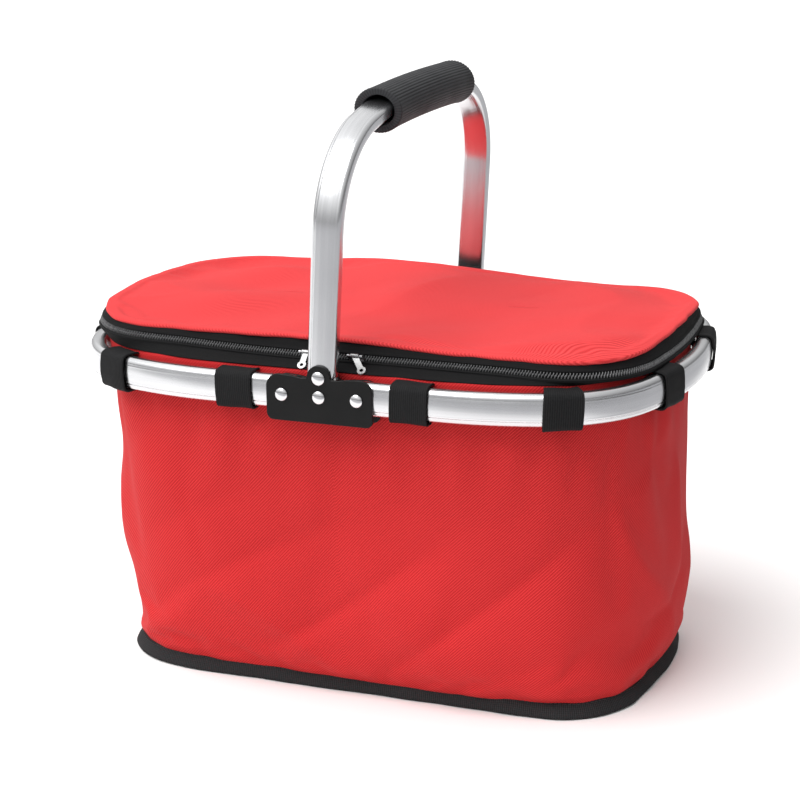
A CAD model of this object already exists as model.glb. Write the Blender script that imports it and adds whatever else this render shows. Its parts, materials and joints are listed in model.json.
"""Looks of the insulated cooler basket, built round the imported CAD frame. Lengths are in metres."""
import json
import math

import bmesh
import bpy
import numpy as np
from mathutils import Matrix, Vector, noise


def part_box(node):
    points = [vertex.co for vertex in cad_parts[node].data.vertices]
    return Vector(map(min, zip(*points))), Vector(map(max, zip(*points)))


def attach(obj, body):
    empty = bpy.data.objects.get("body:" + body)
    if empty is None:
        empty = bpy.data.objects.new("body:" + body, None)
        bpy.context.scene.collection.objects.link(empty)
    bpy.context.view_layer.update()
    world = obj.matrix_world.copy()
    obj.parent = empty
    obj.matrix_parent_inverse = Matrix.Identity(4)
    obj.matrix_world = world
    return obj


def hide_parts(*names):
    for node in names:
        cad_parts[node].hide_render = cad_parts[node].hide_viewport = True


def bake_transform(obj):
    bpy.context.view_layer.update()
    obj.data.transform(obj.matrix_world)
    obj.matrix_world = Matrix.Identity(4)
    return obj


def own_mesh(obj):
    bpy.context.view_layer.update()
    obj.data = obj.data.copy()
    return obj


MM = 0.001
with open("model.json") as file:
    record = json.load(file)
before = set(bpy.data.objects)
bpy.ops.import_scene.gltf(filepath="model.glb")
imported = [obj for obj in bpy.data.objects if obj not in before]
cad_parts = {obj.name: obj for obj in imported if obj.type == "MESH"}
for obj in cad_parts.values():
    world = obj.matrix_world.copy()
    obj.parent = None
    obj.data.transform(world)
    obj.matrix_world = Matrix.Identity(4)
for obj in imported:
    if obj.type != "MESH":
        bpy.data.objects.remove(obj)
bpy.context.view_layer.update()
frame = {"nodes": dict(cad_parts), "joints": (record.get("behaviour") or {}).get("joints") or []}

# ---------------------------------------------------------------- sizes, taken from the frame
ring_low, ring_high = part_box("ring_right")
RING_L, RING_W = 2 * ring_high.x, 2 * ring_high.y
TUBE_H = ring_high.z - ring_low.z
RING_Z = (ring_high.z + ring_low.z) / 2
RING_END = ring_low.x
PLATE_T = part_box("plate_front_outer")[1].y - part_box("plate_front_outer")[0].y
TUBE_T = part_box("plate_rear_outer")[0].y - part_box("plate_rear_inner")[1].y
LEG_Y = RING_W / 2 - TUBE_T / 2
BAND_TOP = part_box("top_band")[1].z
WALL_IN = RING_L / 2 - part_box("top_band")[1].x
base_low, base_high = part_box("base_binding")
LID_L = 2 * (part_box("lid_cover_rear")[1].x - 1.2 * MM)
LID_W = 2 * (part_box("lid_cover_rear")[1].y - 1.2 * MM)
LID_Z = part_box("lid_cover_rear")[0].z
CHAIN_Z = (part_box("zipper_lower_coil")[1].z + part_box("zipper_upper_coil_rear")[0].z) / 2
joints = {j["name"]: j for j in frame["joints"]}
PIVOT_Z = joints["handle_fold"]["pos_m"][2]
RIVET_X = (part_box("ring_rivets_front")[1].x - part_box("ring_rivets_front")[0].x) / 2 - 4.7 * MM
LEAN = math.radians(3.5)
TUBE_WALL = 1.3 * MM
CLOTH_T = 0.8 * MM
STITCH_PITCH = 3.3 * MM


# ---------------------------------------------------------------- ovals
class Oval:
    """A closed outline of a straight run, a bowed side, a corner and a bowed end in each quarter."""

    def __init__(self, length, width, run, corner, bow):
        a = math.radians(bow)
        gap = corner * (math.cos(a) - math.sin(a))
        bx, by = length / 2 - run - gap, width / 2 - gap
        det = math.sin(a) ** 2 - (1 - math.cos(a)) ** 2
        side = (bx * math.sin(a) - by * (1 - math.cos(a))) / det
        end = (by * math.sin(a) - bx * (1 - math.cos(a))) / det
        side_c = np.array([run, width / 2 - side])
        corner_c = side_c + (side - corner) * np.array([math.sin(a), math.cos(a)])
        end_c = np.array([length / 2 - end, 0])
        arcs = [(side_c, side, 90, 90 - bow), (corner_c, corner, 90 - bow, bow), (end_c, end, bow, 0)]
        points, normals = [], []
        for x in np.linspace(0, run, 100, endpoint=False):
            points.append((x, width / 2))
            normals.append((0, 1))
        for centre, radius, start, stop in arcs:
            for angle in np.radians(np.linspace(start, stop, 200, endpoint=False)):
                n = np.array([math.cos(angle), math.sin(angle)])
                points.append(centre + radius * n)
                normals.append(n)
        p, n = np.array(points), np.array(normals)
        flip_y, flip_x = np.array([1, -1]), np.array([-1, 1])
        # the front first, from its middle to +X, round the rear, and back
        p = np.concatenate([p * flip_y, p[::-1], p * flip_x, p[::-1] * -1])
        n = np.concatenate([n * flip_y, n[::-1], n * flip_x, n[::-1] * -1])
        keep = np.concatenate([[True], np.linalg.norm(np.diff(p, axis=0), axis=1) > 1e-7])
        self.p, self.n = p[keep], n[keep]
        step = np.linalg.norm(np.diff(np.vstack([self.p, self.p[:1]]), axis=0), axis=1)
        self.s = np.concatenate([[0], np.cumsum(step)])
        self.length = self.s[-1]

    def at(self, s):
        """Points and outward normals at distances s round the outline from the middle of the front."""
        s = np.mod(np.asarray(s, float), self.length)
        p, n = np.vstack([self.p, self.p[:1]]), np.vstack([self.n, self.n[:1]])
        points = np.stack([np.interp(s, self.s, p[:, k]) for k in (0, 1)], -1)
        normals = np.stack([np.interp(s, self.s, n[:, k]) for k in (0, 1)], -1)
        return points, normals / np.linalg.norm(normals, axis=-1, keepdims=True)

    def share(self, u, out=0.0):
        """Points at shares u (0 to 1) of the outline, moved outwards by out."""
        p, n = self.at(np.asarray(u) * self.length)
        return p + n * np.asarray(out)[..., None]


RING = Oval(RING_L, RING_W, 80 * MM, 90 * MM, 18)
BASE = Oval(base_high.x - base_low.x, base_high.y - base_low.y, 90 * MM, 58 * MM, 10)
LID = Oval(LID_L, LID_W, 110 * MM, 66 * MM, 7)


# ---------------------------------------------------------------- mesh helpers
def smooth_faces(mesh, on=True):
    mesh.polygons.foreach_set("use_smooth", [on] * len(mesh.polygons))


def level(n):
    """Plan directions as level 3-D directions."""
    return np.column_stack([n, np.zeros(len(n))])


def tangent(n):
    """Level 3-D directions a quarter turn on from plan directions n."""
    return np.column_stack([-n[:, 1], n[:, 0], np.zeros(len(n))])


def piece(name, verts, faces, material, uvs=None):
    mesh = bpy.data.meshes.new(name)
    mesh.from_pydata([tuple(v) for v in verts], [], [tuple(f) for f in faces])
    if uvs is not None:
        layer = mesh.uv_layers.new(name="UVMap")
        layer.data.foreach_set("uv", np.asarray(uvs, np.float32).reshape(-1))
    smooth_faces(mesh)
    mesh.materials.append(material)
    mesh.update()
    obj = bpy.data.objects.new(name, mesh)
    bpy.context.scene.collection.objects.link(obj)
    return obj


def grid(name, points, material, u=None, v=None, wrap_u=False, wrap_v=False, planar=False):
    """A sheet of quads over points[v, u]; u and v are texture distances along the columns and rows.

    A planar sheet takes its texture from above, slanted so that it also runs on over upright parts.
    """
    rows, cols = points.shape[:2]
    last_row, last_col = rows if wrap_v else rows - 1, cols if wrap_u else cols - 1
    i, j = np.meshgrid(np.arange(last_row), np.arange(last_col), indexing="ij")
    i2, j2 = (i + 1) % rows, (j + 1) % cols
    faces = np.stack([i * cols + j, i * cols + j2, i2 * cols + j2, i2 * cols + j], -1).reshape(-1, 4)
    if planar:
        verts = points.reshape(-1, 3)
        flat = verts[:, :2] + verts[:, 2:] * (0.7, -0.7)
        uvs = flat[faces.reshape(-1)]
    else:
        u = np.arange(cols + 1) * MM if u is None else np.asarray(u)
        v = np.arange(rows + 1) * MM if v is None else np.asarray(v)
        corner_u = np.stack([u[j], u[j + 1], u[j + 1], u[j]], -1)
        corner_v = np.stack([v[i], v[i], v[i + 1], v[i + 1]], -1)
        uvs = np.stack([corner_u, corner_v], -1).reshape(-1, 2)
    return piece(name, points.reshape(-1, 3), faces, material, uvs)


def lengths(points, wrap=False):
    """Distances along a row of points, starting from 0."""
    p = np.vstack([points, points[:1]]) if wrap else points
    return np.concatenate([[0], np.cumsum(np.linalg.norm(np.diff(p, axis=0), axis=1))])


def sweep(name, centres, outward, across, section, material):
    """A tube: section[(out, across)] carried along centres."""
    points = centres[:, None] + outward[:, None] * section[None, :, :1]
    points = points + across[:, None] * section[None, :, 1:]
    return grid(name, points, material, u=lengths(section, True), v=lengths(centres), wrap_u=True)


def thicken(obj, thickness, offset=-1.0):
    mod = obj.modifiers.new("thickness", "SOLIDIFY")
    mod.thickness, mod.offset, mod.use_even_offset = thickness, offset, False
    return obj


def bevel(obj, width, segments=3, angle=35):
    mod = obj.modifiers.new("bevel", "BEVEL")
    mod.width, mod.segments, mod.limit_method = width, segments, "ANGLE"
    mod.angle_limit = math.radians(angle)
    return obj


def join(name, objs):
    """One object of several meshes."""
    verts, faces, uvs = [], [], []
    for o in objs:
        start = sum(len(v) for v in verts)
        verts.append(np.array([v.co for v in o.data.vertices]))
        faces += [[start + k for k in p.vertices] for p in o.data.polygons]
        layer = o.data.uv_layers.active
        uvs += [tuple(d.uv) for d in layer.data] if layer else [(0, 0)] * len(o.data.loops)
    material = objs[0].data.materials[0]
    for o in objs:
        bpy.data.objects.remove(o)
    return piece(name, np.vstack(verts), faces, material, uvs)


def wander(x, y, z=0.0, seed=0.0):
    """Smooth noise from about -1 to 1 at arrays of points."""
    x, y, z = np.broadcast_arrays(x, y, z)
    flat = [noise.noise(Vector((a, b, c + seed))) for a, b, c in zip(x.ravel(), y.ravel(), z.ravel())]
    return 1.9 * np.array(flat).reshape(x.shape)


def smooth(t):
    t = np.clip(t, 0, 1)
    return t * t * (3 - 2 * t)


def capsules(name, centres, along, up, length, width, height, material, sides=8):
    """Many small rounded bars in one mesh: stitches or zipper teeth."""
    rings = [(-0.5, 0.0), (-0.42, 0.72), (-0.2, 1.0), (0.2, 1.0), (0.42, 0.72), (0.5, 0.0)]
    angle = np.linspace(0, 2 * math.pi, sides, endpoint=False)
    side = np.cross(up, along)
    unit = []
    for t, r in rings[1:-1]:
        unit += [(t * length, r * width / 2 * math.cos(a), r * height / 2 * math.sin(a)) for a in angle]
    unit = np.array([(-0.5 * length, 0, 0), *unit, (0.5 * length, 0, 0)])
    verts = (centres[:, None] + along[:, None] * unit[None, :, :1] + side[:, None] * unit[None, :, 1:2]
             + up[:, None] * unit[None, :, 2:]).reshape(-1, 3)
    faces, last = [], len(unit) - 1
    for k in range(sides):
        n = (k + 1) % sides
        faces.append((0, 1 + n, 1 + k))
        for ring in range(3):
            a, b = 1 + ring * sides, 1 + (ring + 1) * sides
            faces.append((a + k, a + n, b + n, b + k))
        faces.append((1 + 3 * sides + k, 1 + 3 * sides + n, last))
    every = [tuple(v + i * len(unit) for v in f) for i in range(len(centres)) for f in faces]
    return piece(name, verts, every, material)


# ---------------------------------------------------------------- materials
class Nodes:
    """Short-hand for building one material's node tree."""

    def __init__(self, name):
        self.material = bpy.data.materials.new(name)
        self.material.use_nodes = True
        self.tree = self.material.node_tree
        self.shader = self.tree.nodes["Principled BSDF"]

    def add(self, kind, inputs=None, **props):
        node = self.tree.nodes.new(kind)
        for key, value in props.items():
            setattr(node, key, value)
        for key, value in (inputs or {}).items():
            self.put(node.inputs[key], value)
        return node

    def put(self, socket, value):
        if isinstance(value, bpy.types.NodeSocket):
            self.tree.links.new(value, socket)
        else:
            socket.default_value = value

    def math(self, op, a, b=0.0, c=0.0):
        return self.add("ShaderNodeMath", {0: a, 1: b, 2: c}, operation=op).outputs[0]

    def times(self, a, b):
        return self.math("MULTIPLY", a, b)

    def plus(self, a, b):
        return self.math("ADD", a, b)

    def mix(self, factor, a, b):
        node = self.add("ShaderNodeMix", data_type="RGBA")
        self.put(node.inputs["Factor"], factor)
        self.put(node.inputs["A"], a)
        self.put(node.inputs["B"], b)
        return node.outputs["Result"]

    def ramp(self, value, low, high):
        node = self.add("ShaderNodeMapRange", {"Value": value, "From Min": low, "From Max": high})
        return node.outputs["Result"]

    def bump(self, height, strength, distance, normal=None):
        node = self.add("ShaderNodeBump", {"Height": height, "Strength": strength, "Distance": distance})
        if normal is not None:
            self.put(node.inputs["Normal"], normal)
        return node.outputs["Normal"]

    def uv(self):
        uv = self.add("ShaderNodeUVMap", uv_map="UVMap").outputs[0]
        return self.add("ShaderNodeSeparateXYZ", {0: uv}).outputs

    def place(self):
        return self.add("ShaderNodeTexCoord").outputs["Object"]

    def noise(self, scale, detail=2.0, vector=None):
        node = self.add("ShaderNodeTexNoise", {"Scale": scale, "Detail": detail})
        self.put(node.inputs["Vector"], self.place() if vector is None else vector)
        return node.outputs[0]

    def shade(self, **sockets):
        for key, value in sockets.items():
            self.put(self.shader.inputs[key.replace("_", " ")], value)
        return self.material


def rgba(r, g, b):
    return (r, g, b, 1.0)


def woven_polyester(name, light, dark, pitch=1.7 * MM):
    """Twill-woven polyester: fine diagonal ribs over a fainter plain weave."""
    n = Nodes(name)
    u, v = n.uv()[:2]
    k = 2 * math.pi / pitch
    warp = n.math("SINE", n.times(u, k))
    weft = n.math("SINE", n.times(v, k))
    cross = n.times(warp, weft)
    diagonal = n.math("SINE", n.times(n.math("SUBTRACT", u, v), k * 0.72))
    weave = n.plus(n.times(cross, 0.3), n.times(diagonal, 0.7))
    tone = n.ramp(weave, -1.0, 1.0)
    slub = n.noise(900.0, 2.0)
    cloud = n.noise(9.0, 3.0)
    mixed = n.plus(n.times(tone, 0.95), n.times(slub, 0.24))
    mixed = n.plus(mixed, n.times(cloud, 0.22))
    colour = n.mix(n.ramp(mixed, 0.2, 1.2), rgba(*dark), rgba(*light))
    normal = n.bump(weave, 0.5, 0.14 * MM)
    normal = n.bump(slub, 0.12, 0.1 * MM, normal)
    return n.shade(Base_Color=colour, Normal=normal, Roughness=n.ramp(cloud, -2.2, 1.2),
                   Sheen_Weight=0.03, Sheen_Roughness=0.5, Specular_IOR_Level=0.1)


def webbing(name, rib=1.5 * MM, along_u=True, base=0.018):
    """Black woven tape with ribs."""
    n = Nodes(name)
    u, v = n.uv()[:2]
    a, b = (u, v) if along_u else (v, u)
    ribs = n.math("SINE", n.times(a, 2 * math.pi / rib))
    picks = n.math("SINE", n.times(b, 2 * math.pi / (0.55 * rib)))
    height = n.plus(ribs, n.times(picks, 0.4))
    fuzz = n.noise(700.0, 3.0)
    tone = n.plus(n.ramp(height, -1.4, 1.4), fuzz)
    colour = n.mix(n.ramp(tone, 0.4, 1.6), rgba(base * 0.35, base * 0.36, base * 0.38),
                   rgba(base * 1.8, base * 1.8, base * 1.9))
    normal = n.bump(height, 0.45, 0.16 * MM)
    normal = n.bump(fuzz, 0.2, 0.15 * MM, normal)
    return n.shade(Base_Color=colour, Normal=normal, Roughness=n.ramp(fuzz, -2.2, 1.3),
                   Specular_IOR_Level=0.16)


def drawn_aluminium(name):
    """Drawn tube with fine lines along its length and a few soft handling marks."""
    n = Nodes(name)
    u, v = n.uv()[:2]
    fine = n.add("ShaderNodeCombineXYZ", {0: n.times(u, 2600.0), 1: n.times(v, 6.0)})
    grain = n.noise(1.0, 2.0, fine.outputs[0])
    wide = n.add("ShaderNodeCombineXYZ", {0: n.times(u, 420.0), 1: n.times(v, 3.0)})
    band = n.noise(1.0, 1.0, wide.outputs[0])
    smudge = n.noise(22.0, 4.0)
    worn = n.ramp(n.plus(band, smudge), 0.7, 1.3)
    colour = n.mix(worn, rgba(0.68, 0.685, 0.70), rgba(0.76, 0.765, 0.78))
    rough = n.plus(n.times(smudge, 0.12), n.times(grain, 0.08))
    normal = n.bump(grain, 0.06, 0.03 * MM)
    return n.shade(Base_Color=colour, Metallic=1.0, Roughness=n.plus(rough, 0.14), Normal=normal)


def satin_paint(name, base=0.016):
    n = Nodes(name)
    grain = n.noise(1400.0, 3.0)
    cloud = n.noise(60.0, 2.0)
    dark, light = rgba(base * 0.7, base * 0.72, base * 0.75), rgba(base * 1.4, base * 1.4, base * 1.45)
    colour = n.mix(cloud, dark, light)
    return n.shade(Base_Color=colour, Roughness=n.ramp(grain, -0.9, 2.4),
                   Normal=n.bump(grain, 0.18, 0.06 * MM),
                   Specular_IOR_Level=0.2)


def polished_metal(name, colour, rough):
    n = Nodes(name)
    scratch = n.noise(450.0, 3.0)
    smudge = n.noise(70.0, 3.0)
    tint = n.mix(smudge, rgba(*[c * 0.86 for c in colour]), rgba(*colour))
    return n.shade(Base_Color=tint, Metallic=1.0, Roughness=n.ramp(scratch, -1.0, 1.5 / rough - 1),
                   Normal=n.bump(scratch, 0.05, 0.05 * MM))


def foam_rubber(name):
    n = Nodes(name)
    pores = n.noise(1500.0, 2.0)
    cloud = n.noise(45.0, 3.0)
    crest = n.math("ABSOLUTE", n.math("COSINE", n.times(n.uv()[0], math.pi)))
    speckle = n.times(n.plus(cloud, pores), 0.2)
    grey = n.plus(speckle, n.times(crest, 0.7))
    colour = n.mix(grey, rgba(0.0015, 0.0015, 0.0017), rgba(0.034, 0.035, 0.039))
    return n.shade(Base_Color=colour, Roughness=n.ramp(cloud, -1.4, 1.6),
                   Normal=n.bump(pores, 0.35, 0.12 * MM),
                   Specular_IOR_Level=0.4)


def nylon(name):
    n = Nodes(name)
    cloud = n.noise(500.0, 2.0)
    colour = n.mix(cloud, rgba(0.03, 0.03, 0.031), rgba(0.16, 0.16, 0.165))
    return n.shade(Base_Color=colour, Roughness=n.ramp(cloud, -0.4, 2.6), Specular_IOR_Level=0.8)


def foil(name):
    """Silvered lining film, crinkled over the foam."""
    n = Nodes(name)
    fold = n.add("ShaderNodeTexVoronoi", {"Scale": 55.0}, feature="DISTANCE_TO_EDGE")
    n.put(fold.inputs["Vector"], n.place())
    crinkle = n.noise(120.0, 4.0)
    colour = n.mix(crinkle, rgba(0.55, 0.56, 0.58), rgba(0.86, 0.87, 0.88))
    normal = n.bump(crinkle, 0.4, 0.8 * MM)
    normal = n.bump(fold.outputs[0], 0.25, 1.2 * MM, normal)
    return n.shade(Base_Color=colour, Metallic=0.85, Roughness=n.ramp(crinkle, -0.6, 2.2), Normal=normal)


def plain_grain(name, low, high, rough=0.6):
    n = Nodes(name)
    grain = n.noise(700.0, 3.0)
    cloud = n.noise(30.0, 2.0)
    colour = n.mix(n.times(n.plus(grain, cloud), 0.5), rgba(*low), rgba(*high))
    return n.shade(Base_Color=colour, Roughness=rough, Normal=n.bump(grain, 0.2, 0.1 * MM))


RED = woven_polyester("red_polyester", (0.72, 0.044, 0.046), (0.37, 0.008, 0.010))
LID_RED = woven_polyester("lid_polyester", (0.85, 0.078, 0.081), (0.50, 0.024, 0.027))
STRAP = webbing("strap_webbing", 1.5 * MM, base=0.010)
BINDING = webbing("binding_tape", 1.5 * MM, base=0.019)
TAPE = webbing("zipper_tape", 0.8 * MM, along_u=False, base=0.006)
THREAD = plain_grain("black_thread", (0.010, 0.010, 0.011), (0.03, 0.03, 0.032))
RED_THREAD = plain_grain("red_thread", (0.42, 0.012, 0.015), (0.75, 0.05, 0.055))
ALU = drawn_aluminium("drawn_aluminium")
PLATE = satin_paint("plate_paint", base=0.006)
RIVET = polished_metal("rivet_steel", (0.80, 0.80, 0.82), 0.09)
SLIDER = polished_metal("slider_metal", (0.36, 0.36, 0.37), 0.25)
PULL = polished_metal("pull_metal", (0.34, 0.34, 0.34), 0.3)
FOAM = foam_rubber("grip_foam")
COIL = nylon("zipper_nylon")
FOIL = foil("foil_lining")
WHITE_FOAM = plain_grain("white_foam", (0.72, 0.72, 0.70), (0.9, 0.9, 0.88))
BOARD = plain_grain("stiffener_board", (0.05, 0.05, 0.05), (0.12, 0.12, 0.12))


def finish_piece(obj, body, slot, *nodes):
    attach(obj, body)
    if nodes:
        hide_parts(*nodes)
    return obj


# ---------------------------------------------------------------- ring
def tube_profile(t, h, corner):
    """The drawn tube's outline as (out, across) points.

    Its wide faces are slightly crowned, with a fine ridge near each edge.
    """
    arc = np.radians(np.linspace(0, 90, 12))
    half = h / 2 - corner
    ridge = half - 0.9 * MM
    fine = np.array([-0.5, -0.25, 0, 0.25, 0.5]) * MM
    across = np.concatenate([np.linspace(-half, half, 15), fine + ridge, fine - ridge])
    across = np.unique(np.round(across, 7))
    bump = sum(np.exp(-((across - s * ridge) / (0.45 * MM)) ** 2) for s in (-1, 1))
    crown = 0.7 * MM * (1 - (across / half) ** 2) + 0.05 * MM * bump
    face = np.stack([t / 2 + crown, across], -1)
    upper = np.stack([t / 2 - corner + corner * np.cos(arc), half + corner * np.sin(arc)], -1)[1:]
    left = np.stack([-t / 2 + corner - corner * np.sin(arc), half + corner * np.cos(arc)], -1)[1:]
    return np.concatenate([face, upper, left, -face[1:-1], -upper, -left])


def ring_half(name, side):
    """Half of the ring, its ends left open; side is 1 for +X and -1 for -X."""
    s = np.linspace(RING_END, RING.length / 2 - RING_END, 260)
    p, n = RING.at(s)
    centres = np.column_stack([side * (p[:, 0] - n[:, 0] * TUBE_T / 2), p[:, 1] - n[:, 1] * TUBE_T / 2,
                               np.full(len(s), RING_Z)])
    outward = np.column_stack([side * n[:, 0], n[:, 1], np.zeros(len(s))])
    across = np.tile([0.0, 0, 1], (len(s), 1))
    section = tube_profile(TUBE_T + 0.4 * MM, TUBE_H + 1.0 * MM, 4.4 * MM)
    obj = sweep(name, centres, outward, across, section[::-1] if side > 0 else section, ALU)
    thicken(obj, TUBE_WALL)
    return finish_piece(obj, "rim", "aluminium_tube", name)


# ---------------------------------------------------------------- handle
HANDLE_TOP = 422 * MM
SHOULDER_R, SHOULDER_A = 68 * MM, math.radians(12)
TOP_R = SHOULDER_R + (LEG_Y - SHOULDER_R) / math.sin(SHOULDER_A)
SHOULDER_Z = HANDLE_TOP - TOP_R + (TOP_R - SHOULDER_R) * math.cos(SHOULDER_A)
HANDLE_W = 21 * MM
LEG_T = TUBE_T - 0.8 * MM


def lean(points):
    """Turns points about the pivot's axis to where the handle is left standing."""
    turn = Matrix.Rotation(LEAN, 3, "Y")
    pivot = np.array([0, 0, PIVOT_Z])
    return (np.asarray(points) - pivot) @ np.array(turn).T + pivot


def arch_stations():
    """Points and outward normals in the YZ plane, from one leg's end over the top to the other's."""
    def arc(cy, cz, r, a0, a1, count):
        a = np.linspace(a0, a1, count)
        return [((cy + r * math.cos(t), cz + r * math.sin(t)), (math.cos(t), math.sin(t))) for t in a]

    side_y = LEG_Y - SHOULDER_R
    heights = np.linspace(PIVOT_Z - 9.5 * MM, SHOULDER_Z, 30, endpoint=False)
    leg = [((LEG_Y, z), (1, 0)) for z in heights]
    rear = leg + arc(side_y, SHOULDER_Z, SHOULDER_R, 0, math.pi / 2 - SHOULDER_A, 48)[:-1]
    top = arc(0, HANDLE_TOP - TOP_R, TOP_R, math.pi / 2 - SHOULDER_A, math.pi / 2 + SHOULDER_A, 40)
    front = [((-p[0], p[1]), (-n[0], n[1])) for p, n in rear[::-1]]
    return rear + top + front


def handle():
    stations = arch_stations()
    centres = np.array([(0, y, z) for (y, z), _ in stations])
    outward = np.array([(0, a, b) for _, (a, b) in stations])
    across = np.tile([1.0, 0, 0], (len(stations), 1))
    section = tube_profile(LEG_T, HANDLE_W, 3.4 * MM)[::-1]
    obj = sweep("handle_arch", centres, outward, across, section, ALU)
    # round the legs' lower ends about the pivot, so that they turn clear of the stop rivet
    foot = 9.9 * MM
    for v in obj.data.vertices:
        if v.co.z < PIVOT_Z:
            v.co.z = max(v.co.z, PIVOT_Z - math.sqrt(max(foot ** 2 - v.co.x ** 2, 0)))
        v.co = lean([v.co])[0]
    thicken(obj, TUBE_WALL)
    return finish_piece(obj, "handle", "aluminium_tube", "handle_tube")


def grip():
    """Oval foam sleeve with lengthwise ribs; straighter than the tube, which lies low in its ends."""
    low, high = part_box("handle_grip")
    half_l = (high.y - low.y) / 2
    centre_y = (high.y + low.y) / 2
    bend = 1680 * MM
    half_w, half_h = 17.3 * MM, 15.4 * MM
    ribs, per_rib = 46, 8
    around = np.linspace(0, 2 * math.pi, ribs * per_rib, endpoint=False)
    rib = 0.45 * MM * (np.abs(np.cos(around * ribs / 2)) ** 0.7 - 0.6)
    mid_z = HANDLE_TOP - 3.8 * MM
    lip = 1.2 * MM
    # (distance along, size of the section, share of the ribs' height)
    outer = [(-half_l, 1 - lip / half_h, 0.0)]
    for t in np.radians(np.linspace(15, 90, 6)):
        size = 1 - lip / half_h * (1 - math.sin(t))
        outer.append((-half_l + lip * (1 - math.cos(t)), size, math.sin(t)))
    outer += [(a, 1.0, 1.0) for a in np.linspace(-half_l + 3 * MM, 0, 30)]
    outer += [(-a, size, share) for a, size, share in outer[-2::-1]]
    hole = [(-half_l + depth * MM, size, 0.0)
            for depth, size in ((14, 0.64), (5, 0.67), (0.7, 0.68), (0, 0.71))]
    loop = hole + outer + [(-a, size, share) for a, size, share in hole[::-1]]
    rows = []
    for a, size, share in loop:
        t = math.pi / 2 - a / bend
        centre = np.array([0, centre_y + bend * math.cos(t), mid_z - bend + bend * math.sin(t)])
        out = np.array([0, math.cos(t), math.sin(t)])
        flare = 1 + 0.035 * math.exp(-(half_l - abs(a)) / (7 * MM))
        wide = (half_w * size * flare + rib * share) * np.cos(around)
        tall = (half_h * size * flare + rib * share) * np.sin(around)
        rows.append(centre + np.outer(wide, [1, 0, 0]) + np.outer(tall, out))
    points = lean(np.array(rows).reshape(-1, 3)).reshape(len(rows), -1, 3)
    obj = grid("grip_sleeve", points, FOAM, u=np.linspace(0, ribs, len(around) + 1),
               v=np.linspace(0, 1, len(rows)), wrap_u=True)
    return finish_piece(obj, "handle", "grip_foam", "handle_grip")


# ---------------------------------------------------------------- brackets and rivets
def plate_points(top, pivot_up):
    def arc(cx, cz, r, a0, a1, count):
        return [(cx + r * math.cos(math.radians(a)), cz + r * math.sin(math.radians(a)))
                for a in np.linspace(a0, a1, count)]

    right = arc(34, -13.5, 5, -90, 0, 8)
    right += arc(29.5, top - 9.5, 9.5, 0, 96, 14)
    right += [(20, top - 0.5), (13.5, top - 1.6), (11, top - 1.5), (9.3, min(top - 0.6, pivot_up - 0.6))]
    right += arc(0, pivot_up, 8.7, 2, 90, 12)
    return np.array(right + [(-x, z) for x, z in right[-2::-1]]) * MM


def plate(name, y, top):
    """A stamped plate with softened edges, from y to PLATE_T behind it."""
    outline = plate_points(top, (PIVOT_Z - RING_Z) / MM)
    count = len(outline)
    front = [(x, y, RING_Z + z) for x, z in outline]
    back = [(x, y + PLATE_T, RING_Z + z) for x, z in outline]
    faces = [tuple(range(count)), tuple(range(2 * count - 1, count - 1, -1))]
    faces += [(k, k + count, (k + 1) % count + count, (k + 1) % count) for k in range(count)]
    obj = piece(name + "_stamped", front + back, faces, PLATE)
    smooth_faces(obj.data, False)
    bevel(obj, 0.6 * MM, 3)
    return finish_piece(obj, "rim", "black_plate", name)


def lathe(name, profile, centre, axis, material, count=40):
    """profile[(radius, height)] turned about an axis along Y; axis is 1 or -1."""
    angle = np.linspace(0, 2 * math.pi, count, endpoint=False)
    rows = [np.stack([centre[0] + r * np.cos(angle), np.full(count, centre[1] + axis * h),
                      centre[2] + r * np.sin(angle)], -1) for r, h in profile]
    return grid(name, np.array(rows), material, wrap_u=True)


def rivet_set(name, places, side, head):
    """Domed heads outside, a rolled foot inside, on a plain shank."""
    y = side * LEG_Y
    reach = TUBE_T / 2 + PLATE_T
    rim_up, dome_up = 0.35 * MM, 2.1 * MM
    turns = np.linspace(0, math.pi / 2 - 0.02, 12)
    dome = [(head * math.cos(t), reach + rim_up + dome_up * math.sin(t)) for t in turns]
    outer = [(0.3 * MM, reach - 0.5 * MM), (head * 0.93, reach), (head, reach + 0.15 * MM)] + dome
    foot = [(2.5 * MM, -reach), (head * 0.72, -reach - 0.1 * MM), (head * 0.8, -reach - 0.6 * MM),
            (head * 0.55, -reach - 1.2 * MM), (1.6 * MM, -reach - 1.3 * MM),
            (0.9 * MM, -reach - 0.5 * MM), (0.05 * MM, -reach - 0.4 * MM)]
    shank = [(2.4 * MM, -reach), (2.4 * MM, reach)]
    parts = []
    for x, z in places:
        for k, profile in enumerate((outer, foot, shank)):
            parts.append(lathe(f"{name}_{k}", profile, (x, y, z), side, RIVET))
    return finish_piece(join(name + "_turned", parts), "rim", "rivet_steel", name)


def brackets():
    outer_y, inner_y = RING_W / 2, RING_W / 2 - TUBE_T - PLATE_T
    plate("plate_front_outer", -outer_y - PLATE_T, 14.2)
    plate("plate_front_inner", -inner_y - PLATE_T, 11)
    plate("plate_rear_outer", outer_y, 14.2)
    plate("plate_rear_inner", inner_y, 11)
    for side, word in ((-1, "front"), (1, "rear")):
        rivet_set(f"ring_rivets_{word}", [(-RIVET_X, RING_Z), (RIVET_X, RING_Z)], side, 4.7 * MM)
        rivet_set(f"stop_rivet_{word}", [(0, RING_Z)], side, 4.7 * MM)
        rivet_set(f"pivot_rivet_{word}", [(0, PIVOT_Z)], side, 4.9 * MM)


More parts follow.
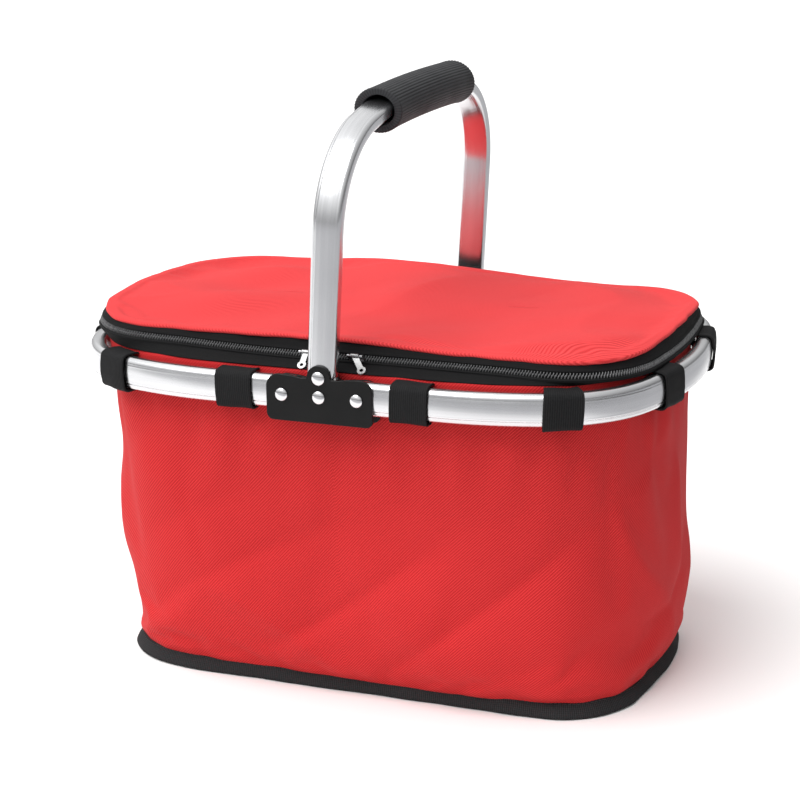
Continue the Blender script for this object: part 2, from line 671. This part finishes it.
# ---------------------------------------------------------------- straps
def strap(name, s_mid, seed):
    """A webbing loop: out of the top band, over the ring, down its face, under it and up again."""
    width = 27 * MM
    p, q = TUBE_T / 2, TUBE_H / 2
    top, face, under = 1.3 * MM, 1.6 * MM, 2.3 * MM
    bend = 4.6 * MM
    turn = np.linspace(0, math.pi / 2, 9)
    path = [(-p - 3.6 * MM, q + 0.6 * MM), (-p - 1.2 * MM, q + top), (-p + 2 * MM, q + top + 0.2 * MM)]
    path += [(p + face - bend + bend * math.sin(t), q + top - bend + bend * math.cos(t)) for t in turn]
    path += [(p + face + 0.5 * MM, 3 * MM), (p + face + 0.6 * MM, -3 * MM)]
    path += [(p + face - bend + bend * math.cos(t), -q - under + bend - bend * math.sin(t)) for t in turn]
    inner = -p - 1.2 * MM
    path += [(inner + bend - bend * math.sin(t), -q - under + bend - bend * math.cos(t)) for t in turn]
    path += [(inner, 0), (inner - 0.6 * MM, q * 0.5), (inner - 2.2 * MM, q * 0.75)]
    path = np.array(path)
    t = lengths(path)
    fine = np.linspace(0, t[-1], 84)
    path = np.stack([np.interp(fine, t, path[:, k]) for k in (0, 1)], -1)
    half = np.linspace(-1, 1, 17)
    s = s_mid + half * width / 2
    tilt = 0.9 * math.sin(seed * 1.7)
    rows = []
    for k, (a, z) in enumerate(path):
        ripple = wander(s * 60, np.full(len(s), fine[k] * 45), seed=seed)
        loose = (0.5 * ripple + 0.35 * half ** 4 + 0.5 * tilt * half) * MM
        out = a + np.sign(a) * loose * (abs(a) > p * 0.9)
        height = RING_Z + z + np.sign(z) * loose * (abs(z) > q * 0.95)
        skew = tilt * 0.9 * MM * z / q + 0.5 * MM * math.sin(fine[k] * 90 + seed)
        c2, n2 = RING.at(s + skew)
        rows.append(np.column_stack([c2 + n2 * (out - TUBE_T / 2)[:, None], height]))
    obj = grid(name + "_webbing", np.array(rows), STRAP, u=s, v=fine)
    thicken(obj, 1.5 * MM, 0)
    bevel(obj, 0.45 * MM, 2, 60)
    return finish_piece(obj, "rim", "black_webbing", name)


def quarter_distance(x):
    """Distance round the ring from the middle of the front to the point at x on its front right."""
    s = np.linspace(0, RING.length / 4, 2000)
    return float(s[np.argmin(np.abs(RING.at(s)[0][:, 0] - x))])


def straps():
    inner = quarter_distance(64 * MM)
    corner = quarter_distance(166.7 * MM)
    end = RING.length / 4 - 56 * MM
    rear = RING.length / 2
    # (first and last word of the name, middle of the pair, distance from it to the right strap)
    pairs = [("front", "inner", 0, inner), ("front", "outer", 0, corner),
             ("rear", "inner", rear, -inner), ("rear", "outer", rear, -corner),
             ("end", "front", 0, end), ("end", "rear", rear, -end)]
    for k, (first, last, middle, distance) in enumerate(pairs):
        strap(f"strap_{first}_right_{last}", middle + distance, 3.7 * (2 * k))
        strap(f"strap_{first}_left_{last}", middle - distance, 3.7 * (2 * k + 1))


# ---------------------------------------------------------------- cloth
def pinned(obj, test):
    group = obj.vertex_groups.new(name="pinned")
    group.add([v.index for v in obj.data.vertices if test(v.co)], 1.0, "REPLACE")
    return group.name


def settle(obj, pin, slack, pressure, frames, inward, outward, centre):
    """Lets cloth that is cut a little too large settle between its sewn edges, then refines it.

    No point moves further than inward or outward from where it began, away from centre.
    """
    start = np.array([v.co for v in obj.data.vertices])
    scene = bpy.context.scene
    mod = obj.modifiers.new("cloth", "CLOTH")
    cloth = mod.settings
    cloth.quality = 6
    cloth.mass = 0.25
    cloth.tension_stiffness = cloth.compression_stiffness = 18
    cloth.shear_stiffness = 8
    cloth.bending_stiffness = 7
    cloth.air_damping = 3
    cloth.vertex_group_mass = pin
    cloth.pin_stiffness = 1
    cloth.shrink_min = -slack
    cloth.use_pressure = pressure != 0
    cloth.uniform_pressure_force = pressure
    cloth.effector_weights.gravity = 0.25
    mod.point_cache.frame_start, mod.point_cache.frame_end = 1, frames
    for frame_number in range(1, frames + 1):
        scene.frame_set(frame_number)
    shaped = obj.evaluated_get(bpy.context.evaluated_depsgraph_get())
    moved = np.array([v.co for v in shaped.data.vertices]) - start
    obj.modifiers.remove(mod)
    scene.frame_set(1)
    away = start - centre(start)
    away /= np.linalg.norm(away, axis=1, keepdims=True)
    along = (moved * away).sum(1, keepdims=True)
    aside = moved - along * away
    limit = np.where(along > 0, outward, inward)
    along = limit * np.tanh(along / limit)
    length = np.linalg.norm(aside, axis=1, keepdims=True)
    aside *= np.minimum(1, 3 * MM / np.maximum(length, 1e-9))
    settled = start + along * away + aside
    obj.data.vertices.foreach_set("co", settled.astype(np.float32).reshape(-1))
    refine = obj.modifiers.new("refine", "SUBSURF")
    refine.levels = 1
    shaped = obj.evaluated_get(bpy.context.evaluated_depsgraph_get())
    mesh = bpy.data.meshes.new_from_object(shaped)
    smooth_faces(mesh)
    old, obj.data = obj.data, mesh
    bpy.data.meshes.remove(old)
    obj.modifiers.clear()
    obj.vertex_groups.clear()
    return obj


# ---------------------------------------------------------------- bag
U = np.linspace(0, 1, 560, endpoint=False)
CLOTH_U = np.linspace(0, 1, 280, endpoint=False)
BIND_Z = base_high.z
SEAM_Z = RING_Z - 4 * MM
ROOT_OUT = -2.0 * MM


def wall_points(z, u):
    """The outer fabric's surface at heights z (rows) and shares u (columns) of the outline."""
    z2, _ = np.meshgrid(z, u, indexing="ij")
    t = z2 / SEAM_Z
    low = BASE.share(u)[None]
    high = RING.share(u, -WALL_IN)[None]
    n_low, n_high = BASE.at(u * BASE.length)[1][None], RING.at(u * RING.length)[1][None]
    normal = n_low * (1 - t[..., None]) + n_high * t[..., None]
    rise = np.maximum(z2 - (BIND_Z - 1.5 * MM), 0)
    # the cloth stands out a little above the binding, then runs straight up to the ring
    bulge = 5.5 * MM * (1 - t) * (1 - np.exp(-rise / (16 * MM))) + ROOT_OUT * np.exp(-rise / (9 * MM))
    x, y = low[..., 0], low[..., 1]
    slow = wander(x * 7 + z2 * 5, y * 7 - z2 * 4, z2 * 8, 11.0)
    # two sets of long creases, one leaning each way
    lean_a = np.maximum(1 - np.abs(wander(x * 11 + z2 * 9, y * 11 + z2 * 5, z2 * 2, 31.0)), 0) ** 2.5
    lean_b = np.maximum(1 - np.abs(wander(x * 9 - z2 * 12, y * 9 + z2 * 4, z2 * 2, 57.0)), 0) ** 2.5
    gather = wander(x * 48, y * 48, z2 * 10, 5.0)
    tuck = np.abs(wander(x * 26, y * 26, z2 * 9, 77.0))
    between = smooth(rise / (40 * MM)) * smooth((SEAM_Z - z2) / (30 * MM))
    folds = 6.0 * slow * np.sin(np.pi * np.clip(t, 0, 1)) ** 0.7
    folds += (4.0 * lean_a - 4.4 * lean_b) * between
    folds += 2.8 * gather * np.exp(-rise / (18 * MM)) * smooth(rise / (3 * MM))
    folds -= 3.0 * tuck * np.exp(-(SEAM_Z - z2) / (50 * MM)) * smooth((SEAM_Z - z2) / (10 * MM))
    # the foam behind the cloth limits how far it folds in
    offset = bulge + np.where(folds < 0, 3.0 * np.tanh(folds / 3.0), folds) * MM
    points = low * (1 - t[..., None]) + high * t[..., None] + normal * offset[..., None]
    return np.concatenate([points, z2[..., None]], -1)


def bag_wall():
    z = BIND_Z - 1.8 * MM + (SEAM_Z - BIND_Z + 1.8 * MM) * np.linspace(0, 1, 46) ** 1.08
    points = wall_points(z, CLOTH_U)
    obj = grid("bag_wall", points, RED, u=lengths(points[-1], True), v=lengths(points[:, 0]),
               wrap_u=True)
    pin = pinned(obj, lambda co: co.z < z[1] + 1e-5 or co.z > z[-2] - 1e-5)
    settle(obj, pin, slack=0.012, pressure=0.35, frames=24, inward=3.0 * MM, outward=5.0 * MM,
           centre=lambda p: p * np.array([0.3, 0.3, 1.0]))
    thicken(obj, CLOTH_T)
    finish_piece(obj, "base", "red_fabric", "body_shell", "body_foam")
    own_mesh(obj)
    seam(points)
    return obj


def seam(points):
    """The row of stitches of the upright seam at each end of the wall."""
    rows = []
    for share in (0.262, 0.738):
        line = points[:, round(share * len(CLOTH_U))]
        out = line[:, :2] / np.linalg.norm(line[:, :2], axis=1, keepdims=True)
        run = lengths(line)
        at = np.arange(4 * MM, run[-1] - 14 * MM, 3.6 * MM)
        centre = np.stack([np.interp(at, run, line[:, k]) for k in range(3)], -1)
        up = level(np.stack([np.interp(at, run, out[:, k]) for k in (0, 1)], -1))
        along = np.gradient(centre, axis=0)
        along /= np.linalg.norm(along, axis=1, keepdims=True)
        rows.append((centre + up * 1.1 * MM, along, up))
    centre, along, up = (np.concatenate(k) for k in zip(*rows))
    obj = capsules("seam_stitches", centre, along, up, 2.6 * MM, 0.7 * MM, 0.6 * MM, RED_THREAD)
    finish_piece(obj, "base", "red_fabric")
    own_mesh(obj)


def lining():
    """Foil lining: the walls, and the floor over the board."""
    top = SEAM_Z
    inset = 7.2 * MM
    z = np.linspace(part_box("floor_lining")[0].z, top, 60)
    t = (z / top)[:, None, None]
    low, high = BASE.share(U, -inset), RING.share(U, -WALL_IN - inset + 1.5 * MM)
    points = low[None] * (1 - t) + high[None] * t
    n = BASE.at(U * BASE.length)[1][None]
    ripple = wander(points[..., 0] * 40, points[..., 1] * 40, z[:, None] * 30, 9.0)
    points = points - n * (0.5 + 0.5 * ripple)[..., None] * MM
    points = np.concatenate([points, np.broadcast_to(z[:, None, None], (*points.shape[:2], 1))], -1)
    obj = grid("foil_wall", points[:, ::-1], FOIL, wrap_u=True)
    thicken(obj, 0.4 * MM)
    finish_piece(obj, "base", "foil_lining", "body_lining")
    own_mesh(obj)
    rings = np.linspace(1, 0.02, 40)[:, None, None]
    flat = BASE.share(U, -inset)[None] * rings
    crinkle = wander(flat[..., 0] * 30, flat[..., 1] * 30, 0.0, 4.0)
    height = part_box("floor_lining")[1].z + (0.5 * crinkle + 0.3) * MM
    points = np.concatenate([flat, height[..., None]], -1)
    floor = grid("foil_floor", points, FOIL, wrap_u=True, planar=True)
    thicken(floor, 0.5 * MM)
    finish_piece(floor, "base", "foil_lining", "floor_lining")


def binding():
    """Tape folded over the bottom seam, which stands out as a narrow wavy skirt round the base."""
    count = 900
    u = np.linspace(0, 1, count, endpoint=False)
    p, n = BASE.at(u * BASE.length)
    straight = 0.06 * BASE.length
    ends = smooth((np.abs(p[:, 0]) - straight) / (120 * MM))
    wave = wander(p[:, 0] * 38, p[:, 1] * 38, 0.0, 2.0)
    slow = wander(p[:, 0] * 15, p[:, 1] * 15, 0.0, 8.0)
    flare = (1.2 + 3.8 * ends + (1.3 + 1.4 * ends) * slow + 0.9 * wave) * MM
    root = BIND_Z + 0.8 * MM + (1.1 * slow + 1.8 * wave) * MM
    lift = (0.5 + 0.5 * np.sign(wave) * np.abs(wave)) * MM * (0.4 + ends)
    # (share of the way down, how far out in mm) over the tape's face and back up behind it
    face = [(0.0, -0.5), (0.06, 0.25), (0.25, 0.55), (0.5, 0.65), (0.75, 0.7), (0.94, 0.6), (1.0, 0.0)]
    back = [(0.94, -0.9), (0.7, -1.0), (0.4, -1.0), (0.1, -1.1)]
    rows = []
    for share, thick in face + back:
        belly = 0.5 * MM * math.sin(math.pi * share)
        radial = ROOT_OUT * (1 - share) + flare * share + thick * MM + belly
        height = root * (1 - share) + lift * share
        rows.append(np.column_stack([p + n * radial[:, None], np.maximum(height, 0.02 * MM)]))
    points = np.array(rows)
    obj = grid("base_tape", points, BINDING, u=lengths(points[3], True),
               v=np.arange(len(rows) + 1) * 1.8 * MM, wrap_u=True, wrap_v=True)
    finish_piece(obj, "base", "black_webbing", "base_binding")
    at = np.arange(0, BASE.length, STITCH_PITCH) / BASE.length
    share = 0.14
    radial = np.interp(at, u, ROOT_OUT * (1 - share) + flare * share) + 0.75 * MM
    height = np.interp(at, u, root * (1 - share) + lift * share)
    p2, n2 = BASE.at(at * BASE.length)
    centres = np.column_stack([p2 + n2 * radial[:, None], height])
    stitches = capsules("base_stitches", centres, tangent(n2), level(n2),
                        2.3 * MM, 0.55 * MM, 0.5 * MM, THREAD)
    finish_piece(stitches, "base", "black_webbing")


def top_strip():
    """The strip of bag cloth inside and above the ring, up to the zipper's lower tape."""
    inset = np.array([15.0, 15.0, 14.9, 14.7, 14.4, 14.3, 14.6, 15.4, 16.4]) * MM
    z = np.array([SEAM_Z / MM - 3, 233, 237, 241, 244, 246, 247.3, 248.1, 248.6]) * MM
    fine = np.linspace(0, len(z) - 1, 30)
    inset, z = np.interp(fine, range(len(z)), inset), np.interp(fine, range(len(z)), z)
    p, n = RING.at(U * RING.length)
    ripple = wander(p[:, 0] * 30, p[:, 1] * 30, 0.0, 21.0)[None]
    ripple = ripple * smooth((z - 235 * MM) / (10 * MM))[:, None]
    plan = p[None] + n[None] * (-inset[:, None] + 0.7 * MM * ripple)[..., None]
    height = z[:, None] + 0.5 * MM * ripple
    points = np.concatenate([plan, height[..., None]], -1)
    obj = grid("top_strip", points, RED, u=lengths(points[0], True), v=z, wrap_u=True)
    thicken(obj, 6.0 * MM)
    return finish_piece(obj, "rim", "red_fabric", "top_band")


# ---------------------------------------------------------------- zipper and lid edge
# How far the lid's edge and the zipper lie above their level line, in mm, at shares of the way round
EDGE_LIFT = [(0.015, 4.5), (0.066, 0), (0.12, 1), (0.15, -0.5), (0.20, 0.5), (0.265, 2.5),
             (0.33, -1), (0.40, -4), (0.45, -1), (0.51, 3.5), (0.56, 5), (0.61, 0),
             (0.68, 2), (0.74, 6), (0.81, 6.5), (0.865, 2.8), (0.937, 3.4)]
CHAIN_LIFT = [(0.03, 1), (0.118, 0.4), (0.15, -0.8), (0.19, -2.4), (0.25, -3), (0.33, -2.5),
              (0.42, -2), (0.55, 1.5), (0.65, 0.5), (0.75, 2.5), (0.82, 4.5), (0.88, 3.9),
              (0.93, 1.4), (0.97, 0)]


def lift(table, u):
    """The table's heights at shares u, smoothed."""
    at, height = np.array(table).T
    shifts = np.linspace(-0.022, 0.022, 9)
    return np.mean([np.interp(u + d, at, height, period=1) for d in shifts], axis=0) * MM


def corner_out(u):
    """The lid and its zipper stand further out at the corners and ends than along the sides."""
    return 5.0 * MM * smooth((np.abs(LID.share(u)[:, 0]) - 110 * MM) / (70 * MM))


def edge_out(u):
    """How far out the lid's own edge lies, with the waviness of turned cloth."""
    turn = 2 * math.pi * np.asarray(u)
    x, y = np.cos(turn), np.sin(turn)
    wave = wander(x * 7, y * 7, 0.0, 63.0) + 0.5 * wander(x * 17, y * 17, 0.0, 19.0)
    return corner_out(u) + 0.9 * MM * wave


def rim_or_flap(obj, slot, *nodes):
    """Cloth all round the lid: its rear stays on the ring and its front turns with the flap."""
    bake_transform(obj)
    if nodes:
        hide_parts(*nodes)
    return obj


CHAIN_OUT = 2.4 * MM
CHAIN_SLOPE = math.radians(24)


def chain_frame(u):
    """The zipper chain's centres, directions, outward normals and upward directions at shares u."""
    _, n = LID.at(u * LID.length)
    centre = np.column_stack([LID.share(u, CHAIN_OUT + corner_out(u)), CHAIN_Z + lift(CHAIN_LIFT, u)])
    out = np.column_stack([n * math.cos(CHAIN_SLOPE), np.full(len(n), math.sin(CHAIN_SLOPE))])
    up = np.column_stack([-n * math.sin(CHAIN_SLOPE), np.full(len(n), math.cos(CHAIN_SLOPE))])
    return centre, tangent(n), out, up


def tape_strip(name, edges, far):
    """A tape beside the chain. edges are (up from the chain, out, share of the way to the far line)."""
    centre, _, out, up = chain_frame(U)
    ripple = 0.35 * wander(centre[:, 0] * 45, centre[:, 1] * 45, 0.0, len(name))
    rows = []
    for rise, stand, mix in edges:
        near = centre + up * rise * MM + out * (stand + ripple * min(1, abs(rise) / 4))[:, None] * MM
        rows.append(near * (1 - mix) + far * mix)
    points = np.array(rows)
    return grid(name, points, TAPE, u=lengths(points[0], True), v=lengths(points[:, 0]), wrap_u=True)


def edge_line(inset, rise):
    """A line round the lid, inset from where the cloth is turned under and rise above it."""
    return np.column_stack([LID.share(U, corner_out(U) - inset), LID_Z + lift(EDGE_LIFT, U) + rise])


def zipper():
    ring = np.column_stack([RING.share(U, -WALL_IN + 0.6 * MM), np.full(len(U), BAND_TOP + 0.9 * MM)])
    lower = [(-1.3, -0.9, 0), (-2.5, -0.3, 0), (-3.0, 0.5, 0), (-3.6, 0.65, 0), (-4.1, 0.1, 0),
             (-4.3, 0.1, 0.2), (-4.3, 0.1, 0.45), (-4.3, 0.2, 0.7), (-4.3, 0.2, 0.92), (-4.3, 0.2, 1.0)]
    obj = tape_strip("lower_tape", lower, ring)
    thicken(obj, CLOTH_T)
    finish_piece(obj, "rim", "black_webbing", "zipper_lower_tape")
    hem = edge_line(2.6 * MM, 0.5 * MM)
    upper = [(4.3, 0.3, 1.0), (4.3, 0.3, 0.9), (4.3, 0.3, 0.7), (4.2, 0.3, 0.45), (4.0, 0.3, 0.2),
             (3.8, 0.25, 0), (3.5, 0.75, 0), (3.0, 0.7, 0), (2.6, 0.0, 0), (2.2, -0.4, 0),
             (1.3, -0.9, 0)]
    obj = tape_strip("upper_tape", upper, hem)
    thicken(obj, CLOTH_T)
    rim_or_flap(obj, "black_webbing", "zipper_upper_tape_front", "zipper_upper_tape_rear")
    count = int(LID.length / (2.0 * MM))
    for word, sign, phase in (("upper", 1, 0.0), ("lower", -1, 0.5)):
        centre, along, out, up = chain_frame((np.arange(count) + phase) / count)
        centres = centre + up * sign * 0.8 * MM + out * 0.35 * MM
        tooth = up + along * 0.3
        tooth /= np.linalg.norm(tooth, axis=1, keepdims=True)
        teeth = capsules(f"{word}_teeth", centres, tooth, out, 3.2 * MM, 0.9 * MM, 1.7 * MM, COIL)
        if word == "upper":
            rim_or_flap(teeth, "zipper_coil", "zipper_upper_coil_front", "zipper_upper_coil_rear")
        else:
            finish_piece(teeth, "rim", "zipper_coil", "zipper_lower_coil")


# ---------------------------------------------------------------- lid
def dome(x, y, r):
    """Height of the cloth above its edge: a low dome with soft creases that run in from the edge."""
    fade = smooth((1 - r) / 0.16)
    ridge = 1 - 2 * np.abs(wander(x * 6 + 2 * y, y * 9 - x * 2, 0.0, 12.0))
    crease = wander(x * 16 - 9 * y, y * 13 + 5 * x, 0.0, 42.0)
    slow = wander(x * 5, y * 6, 0.0, 3.0)
    return 6.0 * MM * (1 - r ** 2.2) + fade * (3.6 * slow + 4.0 * ridge + 2.8 * crease) * MM


def lid_points(r, u, out, base, scale):
    """Rings of points from the lid's spine, a short line along its middle, out to its edge."""
    edge = LID.share(u, edge_out(u) + out)
    r2 = np.broadcast_to(r[:, None], (len(r), len(u)))
    x = edge[None, :, 0] * (0.5 + 0.5 * r2)
    y = edge[None, :, 1] * r2
    height = base + scale * dome(x, y, r2) + lift(EDGE_LIFT, u)[None] * r2 ** 3
    return np.stack([x, y, height], -1)


def close_spine(obj):
    """Joins the two halves along the lid's spine."""
    mesh = bmesh.new()
    mesh.from_mesh(obj.data)
    bmesh.ops.remove_doubles(mesh, verts=mesh.verts, dist=0.02 * MM)
    mesh.to_mesh(obj.data)
    mesh.free()
    smooth_faces(obj.data)


def lid():
    hem, fold = 1.2 * MM, 0.9 * MM
    r = np.concatenate([np.linspace(0, 0.92, 30), np.linspace(0.94, 1.0, 5)])
    points = lid_points(r, CLOTH_U, -hem, LID_Z + 1.9 * MM, 1.0)
    # the turned edge: the cloth rolls over and tucks in under itself
    p, n = LID.at(CLOTH_U * LID.length)
    edge = p + n * (edge_out(CLOTH_U) - hem)[:, None]
    roll = []
    for t in np.radians((35, 90, 145, 200)):
        height = LID_Z + 1.0 * MM + fold * math.cos(t) + lift(EDGE_LIFT, CLOTH_U)
        roll.append(np.column_stack([edge + n * fold * math.sin(t), height]))
    points = np.concatenate([points, np.array(roll)])
    obj = grid("lid_cloth", points, LID_RED, wrap_u=True, planar=True)
    first_sewn = (len(r) - 4) * len(CLOTH_U)
    group = obj.vertex_groups.new(name="pinned")
    group.add(list(range(first_sewn, len(obj.data.vertices))), 1.0, "REPLACE")
    close_spine(obj)
    settle(obj, "pinned", slack=0.012, pressure=0.5, frames=24, inward=3.5 * MM, outward=5.0 * MM,
           centre=lambda q: q - np.array([0, 0, 1.0]))
    thicken(obj, CLOTH_T)
    rim_or_flap(obj, "lid_fabric", "lid_cover_front", "lid_cover_rear", "lid_foam_front", "lid_foam_rear")
    below = lid_points(np.linspace(0, 1, 40), U, -5 * MM, LID_Z - 4 * MM, 0.3)
    under = grid("lid_foil", below[:, ::-1], FOIL, wrap_u=True, planar=True)
    close_spine(under)
    thicken(under, 0.4 * MM)
    rim_or_flap(under, "foil_lining", "lid_lining_front", "lid_lining_rear")
    at = np.arange(0, LID.length, STITCH_PITCH) / LID.length
    p, n = LID.at(at * LID.length)
    plan = p + n * (edge_out(at) - 4.2 * MM)[:, None]
    share = 1 - 3.0 * MM / np.linalg.norm(p, axis=1)
    z = LID_Z + 2.1 * MM + dome(plan[:, 0], plan[:, 1], share) + lift(EDGE_LIFT, at)
    up = np.tile([0.0, 0, 1], (len(n), 1))
    stitches = capsules("lid_stitches", np.column_stack([plan, z]), tangent(n), up,
                        2.4 * MM, 0.5 * MM, 0.5 * MM, RED_THREAD)
    rim_or_flap(stitches, "lid_fabric")


# ---------------------------------------------------------------- carried-over nodes
def plain_nodes():
    """The frame's own solids that only need their looks: the hidden base and the zipper's hardware."""
    for name, material in (("base_panel", BINDING), ("base_foam", WHITE_FOAM), ("base_board", BOARD),
                           ("slider_left", SLIDER), ("slider_right", SLIDER),
                           ("pull_left", PULL), ("pull_right", PULL)):
        node = frame["nodes"][name]
        node.data.materials.clear()
        node.data.materials.append(material)
        if name.startswith(("slider", "pull")):
            bevel(node, 0.25 * MM, 2)


# ---------------------------------------------------------------- studio
def camera():
    azimuth, elevation, distance = math.radians(21.415), math.radians(15.852), 1.65785
    target = Vector((-2.67 * MM, 0, 189.7 * MM))
    flat = math.cos(elevation)
    back = Vector((math.sin(azimuth) * flat, -math.cos(azimuth) * flat, math.sin(elevation)))
    data = bpy.data.cameras.new("camera")
    data.sensor_width, data.lens = 36, 100.15
    data.clip_start, data.clip_end = 0.05, 60
    cam = bpy.data.objects.new("camera", data)
    cam.rotation_mode = "QUATERNION"
    cam.location = target + back * distance
    roll = Matrix.Rotation(math.radians(-0.783), 3, back)
    cam.rotation_quaternion = (roll @ (-back).to_track_quat("-Z", "Y").to_matrix()).to_quaternion()
    bpy.context.scene.collection.objects.link(cam)
    bpy.context.scene.camera = cam


def sky(levels, side):
    """A studio surround, bright overhead and dim at the horizon; the right loses the share side."""
    world = bpy.data.worlds.new("studio")
    bpy.context.scene.world = world
    world.use_nodes = True
    tree = world.node_tree
    place = tree.nodes.new("ShaderNodeTexCoord")

    def along(axis):
        aim = tree.nodes.new("ShaderNodeVectorMath")
        aim.operation = "DOT_PRODUCT"
        aim.inputs[1].default_value = axis
        tree.links.new(place.outputs["Generated"], aim.inputs[0])
        return aim.outputs["Value"]

    ramp = tree.nodes.new("ShaderNodeValToRGB")
    tree.links.new(along((0, 0, 1)), ramp.inputs["Fac"])
    steps = ramp.color_ramp.elements
    for step, (at, level) in zip([steps[0], steps[1]] + [steps.new(0.5) for _ in levels[2:]], levels):
        step.position = at
        step.color = rgba(level, level, level)
    dim = tree.nodes.new("ShaderNodeMapRange")
    for socket, value in (("From Min", -0.3), ("From Max", 0.9), ("To Min", 1.0), ("To Max", 1 - side)):
        dim.inputs[socket].default_value = value
    tree.links.new(along((0.95, 0.3, 0)), dim.inputs["Value"])
    tree.links.new(ramp.outputs["Color"], tree.nodes["Background"].inputs["Color"])
    tree.links.new(dim.outputs["Result"], tree.nodes["Background"].inputs["Strength"])


def studio():
    n = Nodes("studio_floor")
    # white paper round the basket, darker floor beyond it at the right and towards the viewer
    right, near = (
        n.add("ShaderNodeVectorMath", {0: n.place(), 1: way}, operation="DOT_PRODUCT").outputs["Value"]
        for way in ((1.0, 0.2, 0.0), (0.35, -1.0, 0.0)))
    beyond = n.math("MAXIMUM", n.ramp(right, 0.36, 0.65), n.ramp(near, 0.5, 0.95))
    n.shade(Base_Color=n.mix(beyond, rgba(0.94, 0.935, 0.93), rgba(0.36, 0.36, 0.37)), Roughness=0.55,
            Specular_IOR_Level=0.3)
    size = 14
    corners = [(-size, -size, 0), (size, -size, 0), (size, size * 3, 0), (-size, size * 3, 0)]
    floor = piece("floor", corners, [(0, 1, 2, 3)], n.material)
    floor.location.z = -0.0005
    sky([(0.0, 0.26), (0.14, 0.28), (0.36, 0.95), (0.6, 1.1), (1.0, 1.1)], side=0.6)
    sun = bpy.data.lights.new("overhead", "SUN")
    sun.energy, sun.angle = 2.5, math.radians(50)
    lamp = bpy.data.objects.new("overhead", sun)
    lamp.rotation_mode = "QUATERNION"
    lamp.rotation_quaternion = Vector((0.34, 0.5, -1.0)).to_track_quat("-Z", "Y")
    bpy.context.scene.collection.objects.link(lamp)
    bpy.context.scene.view_settings.view_transform = "Standard"


camera()
ring_half("ring_right", 1)
ring_half("ring_left", -1)
handle()
grip()
brackets()
straps()
bag_wall()
lining()
binding()
top_strip()
zipper()
lid()
plain_nodes()
studio()
